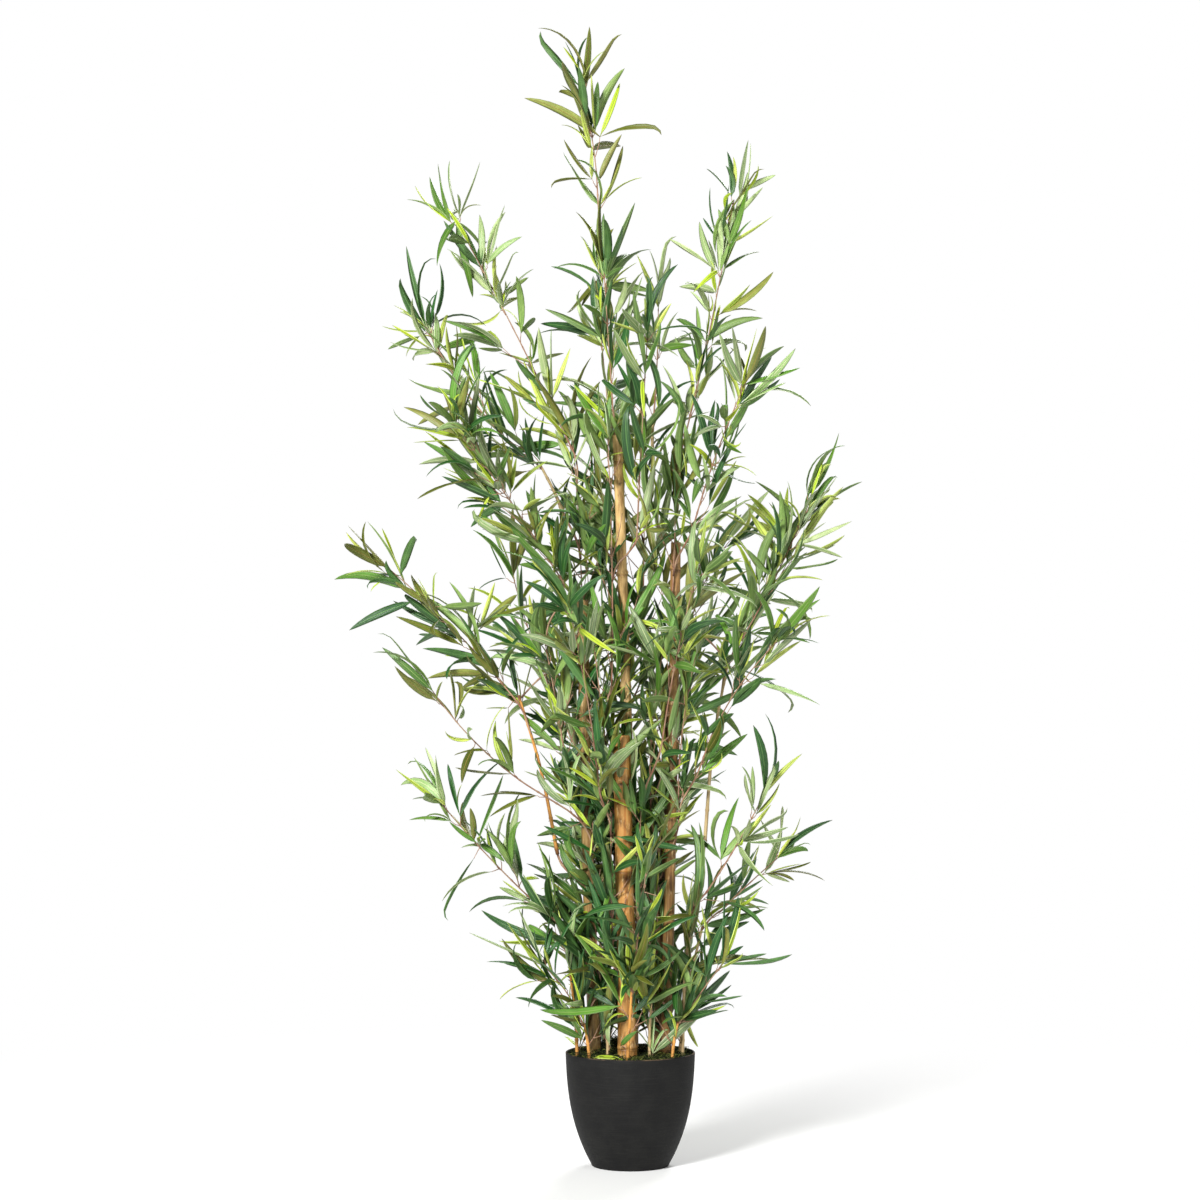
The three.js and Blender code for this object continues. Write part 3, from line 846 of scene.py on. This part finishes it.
    def fan(self, p, heading, tone, count, scale):
        """Leaves spread like fingers from a twig's end; one of them is slim, and often lime."""
        rng = self.rng
        outward = unit(np.array([p[0], p[1], 0.0]) + rng.normal(0, 0.02, 3) * [1, 1, 0])
        first, second = across(heading)
        roll = rng.uniform(0, np.pi)
        plane = math.cos(roll) * first + math.sin(roll) * second
        shares = TONES[tone]
        kind = rng.choice(list(shares), p=list(shares.values()))
        tint = rng.integers(0, TINTS)
        half = rng.uniform(0.3, 0.85)
        angles = np.linspace(-half, half, count) + rng.normal(0, 0.15, count) if count > 1 else [0.0]
        slim = rng.integers(0, count)
        for index, angle in enumerate(angles):
            is_slim = index == slim and count > 1
            lime = is_slim and rng.random() < LIME_SHARE
            size = rng.uniform(*LEAF_LENGTH) * scale
            size *= rng.uniform(0.5, 0.85) if is_slim else rng.choice([1.0, 0.86, 0.55], p=[0.5, 0.35, 0.15])
            direction = unit(math.cos(angle) * heading + math.sin(angle) * plane + rng.normal(0, 0.14, 3))
            facing = outward * rng.choice([-1, 1], p=[0.35, 0.65]) + [0, 0, 0.7] + rng.normal(0, 0.75, 3)
            plump = SLIM_WIDTH if is_slim else rng.uniform(0.85, 1.12)
            self.leaf(
                base=p, heading=direction, facing=facing, length=size,
                width=LEAF_WIDTH * plump * (size / LEAF_LENGTH[1]) ** 0.4, bend=rng.normal(0.35, 0.5),
                sway=rng.normal(0, 0.32), twist=rng.normal(0, 0.7),
                hook=rng.choice([0.0, 1.1], p=[0.86, 0.14]),
                kind="lime" if lime else kind, tint=(tint + rng.integers(0, 2)) % TINTS,
            )

    def leaf(self, **row):
        self.leaves.append({**row, "fold": self.rng.uniform(0.10, 0.42)})


# ---- leaves ----

# Stretches of cane, as heights in millimetres, that the leaves on the near side are parted to show.
PARTED = {
    "cane_tall": [(770, 980)],
    "cane_front": [(150, 205), (335, 400), (450, 505)],
    "cane_right": [(350, 410), (560, 660), (770, 830)],
    "cane_left": [(185, 230), (600, 670)],
}
PARTED_SIDE = 3 * MM        # how far beside a cane they are parted
PARTED_KEPT = 0.15          # share of those leaves that still cross it


def parted(points, rng):
    """Which of the leaves hide a parted stretch of cane."""
    middle = points.reshape(len(points), LEAF_STATIONS, -1, 3).mean(axis=2)
    hides = np.zeros(len(points), bool)
    for name, stretches in PARTED.items():
        line, plain, _, _, _ = cane_facts(name)
        z = middle[..., 2]
        aside = np.abs(middle[..., 0] - np.polyval(line[0], z))
        before = middle[..., 1] < np.polyval(line[1], z)
        beside = aside < np.polyval(plain, z) + PARTED_SIDE
        for low, high in stretches:
            within = (z > low * MM) & (z < high * MM)
            hides |= (before & beside & within).any(axis=1)
    return hides & (rng.random(len(points)) > PARTED_KEPT)


LEAF_AT = np.array([0, 0.07, 0.16, 0.28, 0.42, 0.56, 0.70, 0.83, 0.93, 1.0])
RIM_ACROSS = np.array([-1, -0.5, 0, 0.5, 1, 0.5, 0, -0.5])
RIM_SIDE = np.array([0, 1, 1, 1, 0, -1, -1, -1])


def leaf_outline(t):
    """Half width along a leaf: a short stalk, a full middle and a long fine tip."""
    blade = np.maximum(np.sin(np.pi * t**0.78), 0) ** 0.66
    return np.maximum(blade * smoothstep(-0.03, 0.17, t), 0.07 * (1 - t) + 0.02)


def leaf_points(rows):
    """The closed thin solids of many leaves, as an (N, stations * 8, 3) array."""
    def column(key):
        return np.array([row[key] for row in rows], float)[:, None]

    t = LEAF_AT
    base, heading, facing = (np.array([row[key] for row in rows]) for key in ("base", "heading", "facing"))
    normal = unit(facing - heading * dot(facing, heading))
    side = np.cross(normal, heading)
    droop = column("bend") * t**1.4 + column("hook") * smoothstep(0.78, 1.0, t)
    swing = column("sway") * t**1.2
    along = unit(
        heading[:, None] * (np.cos(droop) * np.cos(swing))[..., None]
        + side[:, None] * np.sin(swing)[..., None]
        - normal[:, None] * np.sin(droop)[..., None]
    )
    steps = (along[:, 1:] + along[:, :-1]) / 2 * (column("length") * np.diff(t))[..., None]
    middle = np.concatenate([base[:, None], base[:, None] + np.cumsum(steps, axis=1)], axis=1)
    up = normal[:, None] * np.cos(droop)[..., None] + heading[:, None] * np.sin(droop)[..., None]
    wide = unit(np.cross(up, along))
    up = np.cross(along, wide)
    roll = (column("twist") * t)[..., None]
    wide, up = wide * np.cos(roll) + up * np.sin(roll), up * np.cos(roll) - wide * np.sin(roll)

    half = column("width") / 2 * leaf_outline(t)
    fold = column("fold")[..., None]
    v = RIM_ACROSS[None, None]
    crown = 0.22 * (1 - (2 * np.abs(v) - 1) ** 2)
    thinned = np.minimum(1, half / (1.5 * MM))[..., None]
    thickness = LEAF_THICKNESS / 2 * RIM_SIDE * (1 - v * v * 0.75) * thinned
    lift = half[..., None] * (np.abs(v) * np.sin(fold) + crown) + thickness
    points = (
        middle[:, :, None]
        + wide[:, :, None] * (half[..., None] * v * np.cos(fold))[..., None]
        + up[:, :, None] * lift[..., None]
    )
    return points.reshape(len(rows), -1, 3)


def leaf_maps(rows):
    """Each leaf's corners in its column of the map: one column for its upper face, one for its underside."""
    plain = tube_map(LEAF_STATIONS, len(RIM_ACROSS))
    turn = 2 * plain[..., 0]
    under = (np.floor(turn.mean(axis=1)) % 2)[:, None]
    inside = np.where(under > 0, 2 - turn, turn)
    inside[2 - len(RIM_ACROSS):] = 0.5
    share = MARGIN_U + (1 - 2 * MARGIN_U) * inside
    along = np.interp(plain[..., 1], np.linspace(0, 1, LEAF_STATIONS), LEAF_AT)
    v = MARGIN_V + (1 - 2 * MARGIN_V) * along
    tint = np.array([row["tint"] for row in rows])[:, None, None]
    u = (2 * tint + under + share) / COLUMNS
    return np.stack([u, np.broadcast_to(v, u.shape)], axis=-1)


def make_leaves(plant, nodes, box, rng):
    """Joins the leaves of each kind, without those too far past the CAD model's box or parted."""
    low = np.array(box[0]) - PROUD
    high = np.array(box[1]) + PROUD
    quads = tube_quads(LEAF_STATIONS, len(RIM_ACROSS))
    for kind in LEAF_KINDS:
        rows = [row for row in plant.leaves if row["kind"] == kind]
        points = leaf_points(rows)
        inside = np.all((points > low) & (points < high), axis=(1, 2)) & ~parted(points, rng)
        rows = [row for row, keep in zip(rows, inside) if keep]
        batch = Batch()
        batch.add(points[inside], quads, leaf_maps(rows))
        piece("leaves_" + kind, batch, leaf_material(kind), nodes)


def fallen_leaf(plant):
    """The one short yellow-green leaf that lies on the moss at the front."""
    plant.leaf(
        base=np.array(FALLEN_AT), heading=unit(np.array([1.0, 0.05, 0.06])),
        facing=np.array([0.1, -0.5, 1.0]), length=FALLEN_LENGTH, width=FALLEN_WIDTH,
        bend=0.3, sway=-0.2, twist=0.2, hook=0.0, kind="lime", tint=1,
    )


# ---- stems ----


ORANGE_STEMS = {"stem_front", "stem_lower_left", "stem_foot_left", "stem_foot_right", "bough_mid_left"}


def limb_line(name):
    """A thin limb's line from its CAD node, up from its lower end."""
    points = node_points(name)
    centre = points.mean(axis=0)
    main = np.linalg.svd(points - centre, full_matrices=False)[2][0]
    main *= np.sign(main[2])
    share = (points - centre) @ main
    low, high = share.min(), share.max()
    foot = points[share < low + 4 * MM].mean(axis=0)
    tip = points[share > high - 4 * MM].mean(axis=0)
    middle = points[np.abs(share - (low + high) / 2) < 0.3 * (high - low)].mean(axis=0)
    return smooth_line([foot, middle, tip], max(10, int((high - low) / LINE_STEP)))


def add_stem(batch, line, sides, foot, tip, least, step, spacing, swell):
    """Adds a stem that tapers and swells a little at each of its rings."""
    length = line_length(line)
    fine = smooth_line(line, max(least, int(length / step)))
    along = np.linspace(0, length, len(fine))
    ring = hump((along + spacing / 3) % spacing, spacing / 2, 1.6 * MM)
    radii = (foot + (tip - foot) * along / length) * (1 + swell * ring)
    batch.add_tubes(fine[None], radii[None], sides)


def make_stems(lines):
    """The thin stems out of the moss and the boughs, in two looks: orange and whitish."""
    pale_stems = set(lines) - ORANGE_STEMS
    for name, looks, chosen in (
        ("stems_orange", (srgb(206, 146, 70), srgb(172, 120, 60), srgb(104, 66, 34)), ORANGE_STEMS),
        ("stems_pale", (srgb(190, 168, 122), srgb(158, 134, 96), srgb(110, 84, 58)), pale_stems),
    ):
        batch = Batch()
        for key in sorted(chosen):
            add_stem(batch, lines[key], STEM_SIDES, STEM_FOOT, STEM_TIP,
                     least=20, step=2.5 * MM, spacing=STEM_RING_SPACING, swell=0.3)
        piece(name, batch, twig_material(name, *looks), sorted(chosen))


def make_twigs(plant, nodes):
    batch = Batch()
    for line, foot, tip in plant.shoots:
        add_stem(batch, line, TWIG_SIDES, foot, tip,
                 least=12, step=3 * MM, spacing=SHOOT_RING_SPACING, swell=0.45)
    lines = np.array(plant.twigs)
    radii = np.repeat(np.linspace(TWIG_FOOT, TWIG_TIP, TWIG_RINGS)[None], len(lines), axis=0)
    batch.add_tubes(lines, radii, TWIG_SIDES)
    looks = twig_material("twig_brown", srgb(164, 138, 110), srgb(132, 88, 70), srgb(84, 58, 44))
    piece("twigs", batch, looks, nodes)


# ---- the plant ----

CORE_SHOOTS = {"foliage_core_low": 7, "foliage_core_left": 3, "foliage_core_right": 3, "foliage_core_top": 4}
CORE_SPACING = 25 * MM
# Stretches of cane, as heights in millimetres, that bear twigs of their own.
LEAFY_CANES = [("cane_tall", 500, 730), ("cane_front", 400, 545)]
CANE_SPACING = 24 * MM
# How often two twigs stand at one place of a shoot, as a share.
CORE_DOUBLES, SPRAY_DOUBLES, CANE_DOUBLES = 0.3, 0.45, 0.5


def spray_look(name):
    """A foliage node's tone and fullness."""
    spray = name.removeprefix("foliage_")
    tone = next((tone for tone, sprays in SPRAY_TONES.items() if spray in sprays), "fresh")
    return tone, SPRAY_FULLNESS.get(spray, 1)


def grow(plant, canes, rng):
    """Grows the core's upright shoots first, then one shoot through each outer spray."""
    lines = {name: limb_line(name) for name in nodes_named("stem_") + nodes_named("bough_")}
    limbs = dict(lines)
    volumes = {name: Volume(name, rng) for name in nodes_named("foliage_")}
    plant.hosts += [line for name, line in lines.items() if name.startswith("stem_")]

    for order, (name, count) in enumerate(CORE_SHOOTS.items()):
        plant.rng = rng = np.random.default_rng([SEED, 1, order])
        volume = volumes[name]
        axis = smooth_line(volume.axis, AXIS_POINTS)
        half = (volume.high - volume.low)[:2] / 2
        for index in range(count):
            angle = 2 * np.pi * (index + 0.5) / count + 0.4
            out = np.array([math.cos(angle) * half[0], math.sin(angle) * half[1], 0])
            line = axis[slice(*CORE_SPAN)]
            line = line + out * np.linspace(0.5, 0.62, len(line))[:, None] * rng.uniform(0.75, 1.1)
            plant.spray(name, volume, line, limbs, CORE_MEETS, CORE_SPACING, CORE_DOUBLES)

    plant.rng = np.random.default_rng([SEED, 3])
    low = volumes["foliage_core_low"]
    for name, line in lines.items():
        if name.startswith("stem_"):
            plant.fill(low, line, STEM_BARE, "dark", STEM_SPACING, CORE_DOUBLES)
            plant.crown(line, "dark")
        if name.startswith("bough_"):
            plant.shoot(plant.link(line), BOUGH_FOOT, BOUGH_FOOT)
            plant.hosts.append(line)

    outer = [name for name in volumes if name not in CORE_SHOOTS]
    for name in sorted(outer, key=lambda n: volumes[n].axis[0][2]):
        plant.rng = np.random.default_rng([SEED, 2, outer.index(name)])
        volume = volumes[name]
        axis = smooth_line(volume.axis, AXIS_POINTS)
        keep = 1 - TIP_CUT / line_length(axis)
        axis = axis[:int(AXIS_POINTS * keep)]
        plant.spray(name, volume, axis, limbs, LIMB_MEETS, NODE_SPACING, SPRAY_DOUBLES)

    plant.rng = np.random.default_rng([SEED, 4])
    for name, low, high in LEAFY_CANES:
        cane = canes[name]
        line = cane[(cane[:, 2] > low * MM) & (cane[:, 2] < high * MM)]
        top = volumes["foliage_core_top"]
        plant.fill(top, line, 0, "fresh", CANE_SPACING, CANE_DOUBLES)
    return lines


def make_plant(box):
    rng = np.random.default_rng(SEED)
    plant = Plant(rng)
    canes = {name: make_cane(name, rng) for name in nodes_named("cane_")}
    plant.hosts += canes.values()
    limbs = grow(plant, canes, rng)
    nodes = nodes_named("foliage_")
    make_stems(limbs)
    make_twigs(plant, nodes)
    fallen_leaf(plant)
    make_leaves(plant, nodes, box, rng)


# ---- floor, light and camera ----


def area_light(name, place, aim, size, power):
    data = bpy.data.lights.new(name, "AREA")
    data.shape, data.size, data.energy = "DISK", size, power
    light = placed(name, data)
    light.location = place
    light.rotation_euler = (Vector(aim) - Vector(place)).to_track_quat("-Z", "Y").to_euler()
    light.visible_camera = False


def studio():
    scene = bpy.context.scene
    scene.view_settings.view_transform = "Standard"
    world = bpy.data.worlds.new("studio")
    scene.world = world
    world.use_nodes = True
    tree = world.node_tree
    background = tree.nodes["Background"]
    background.inputs["Color"].default_value = (1, 1, 1, 1)
    seen = add(tree, "LightPath")
    strength = maths(tree, "MULTIPLY_ADD", seen, 1 - WORLD_LIGHT, WORLD_LIGHT)
    tree.links.new(strength, background.inputs["Strength"])

    area_light("key", (-3.2, -6.2, 3.9), (0, 0, 0.75), 2.05, 1080)
    area_light("fill", (2.6, -2.4, 1.4), (0, 0, 0.7), 2.2, 44)
    area_light("back", (0.8, 2.8, 2.6), (0, 0, 0.8), 2.0, 110)

    turn = circle(FLOOR_SIDES)
    rim = [(FLOOR_RADIUS * math.cos(a), FLOOR_RADIUS * math.sin(a), 0) for a in turn]
    mesh = bpy.data.meshes.new("floor")
    mesh.from_pydata(rim, [], [tuple(range(FLOOR_SIDES))])
    floor = placed("floor", mesh)
    material, tree, shader = new_material("floor_pale", 0.7, 0.2)
    place = add(tree, "TexCoord", out=3)
    away = add(tree, "VectorMath", place, operation="LENGTH", out=1)
    shader.inputs["Base Color"].default_value = (0.86, 0.86, 0.85, 1)
    glow = tree.nodes.new("ShaderNodeEmission")
    blend = tree.nodes.new("ShaderNodeMixShader")
    tree.links.new(ramp(tree, away, *FLOOR_FADE), blend.inputs["Fac"])
    tree.links.new(shader.outputs[0], blend.inputs[1])
    tree.links.new(glow.outputs[0], blend.inputs[2])
    tree.links.new(blend.outputs[0], tree.nodes["Material Output"].inputs["Surface"])
    mesh.materials.append(material)

    data = bpy.data.cameras.new("camera")
    data.lens, data.sensor_width = CAMERA_LENS, CAMERA_SENSOR
    camera = placed("camera", data)
    camera.location = CAMERA_PLACE
    camera.rotation_euler = (math.pi / 2, 0, 0)
    scene.camera = camera


cad_box = [list(corner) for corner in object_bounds()]
studio()
make_pot()
make_moss(np.random.default_rng(SEED + 1))
make_plant(cad_box)
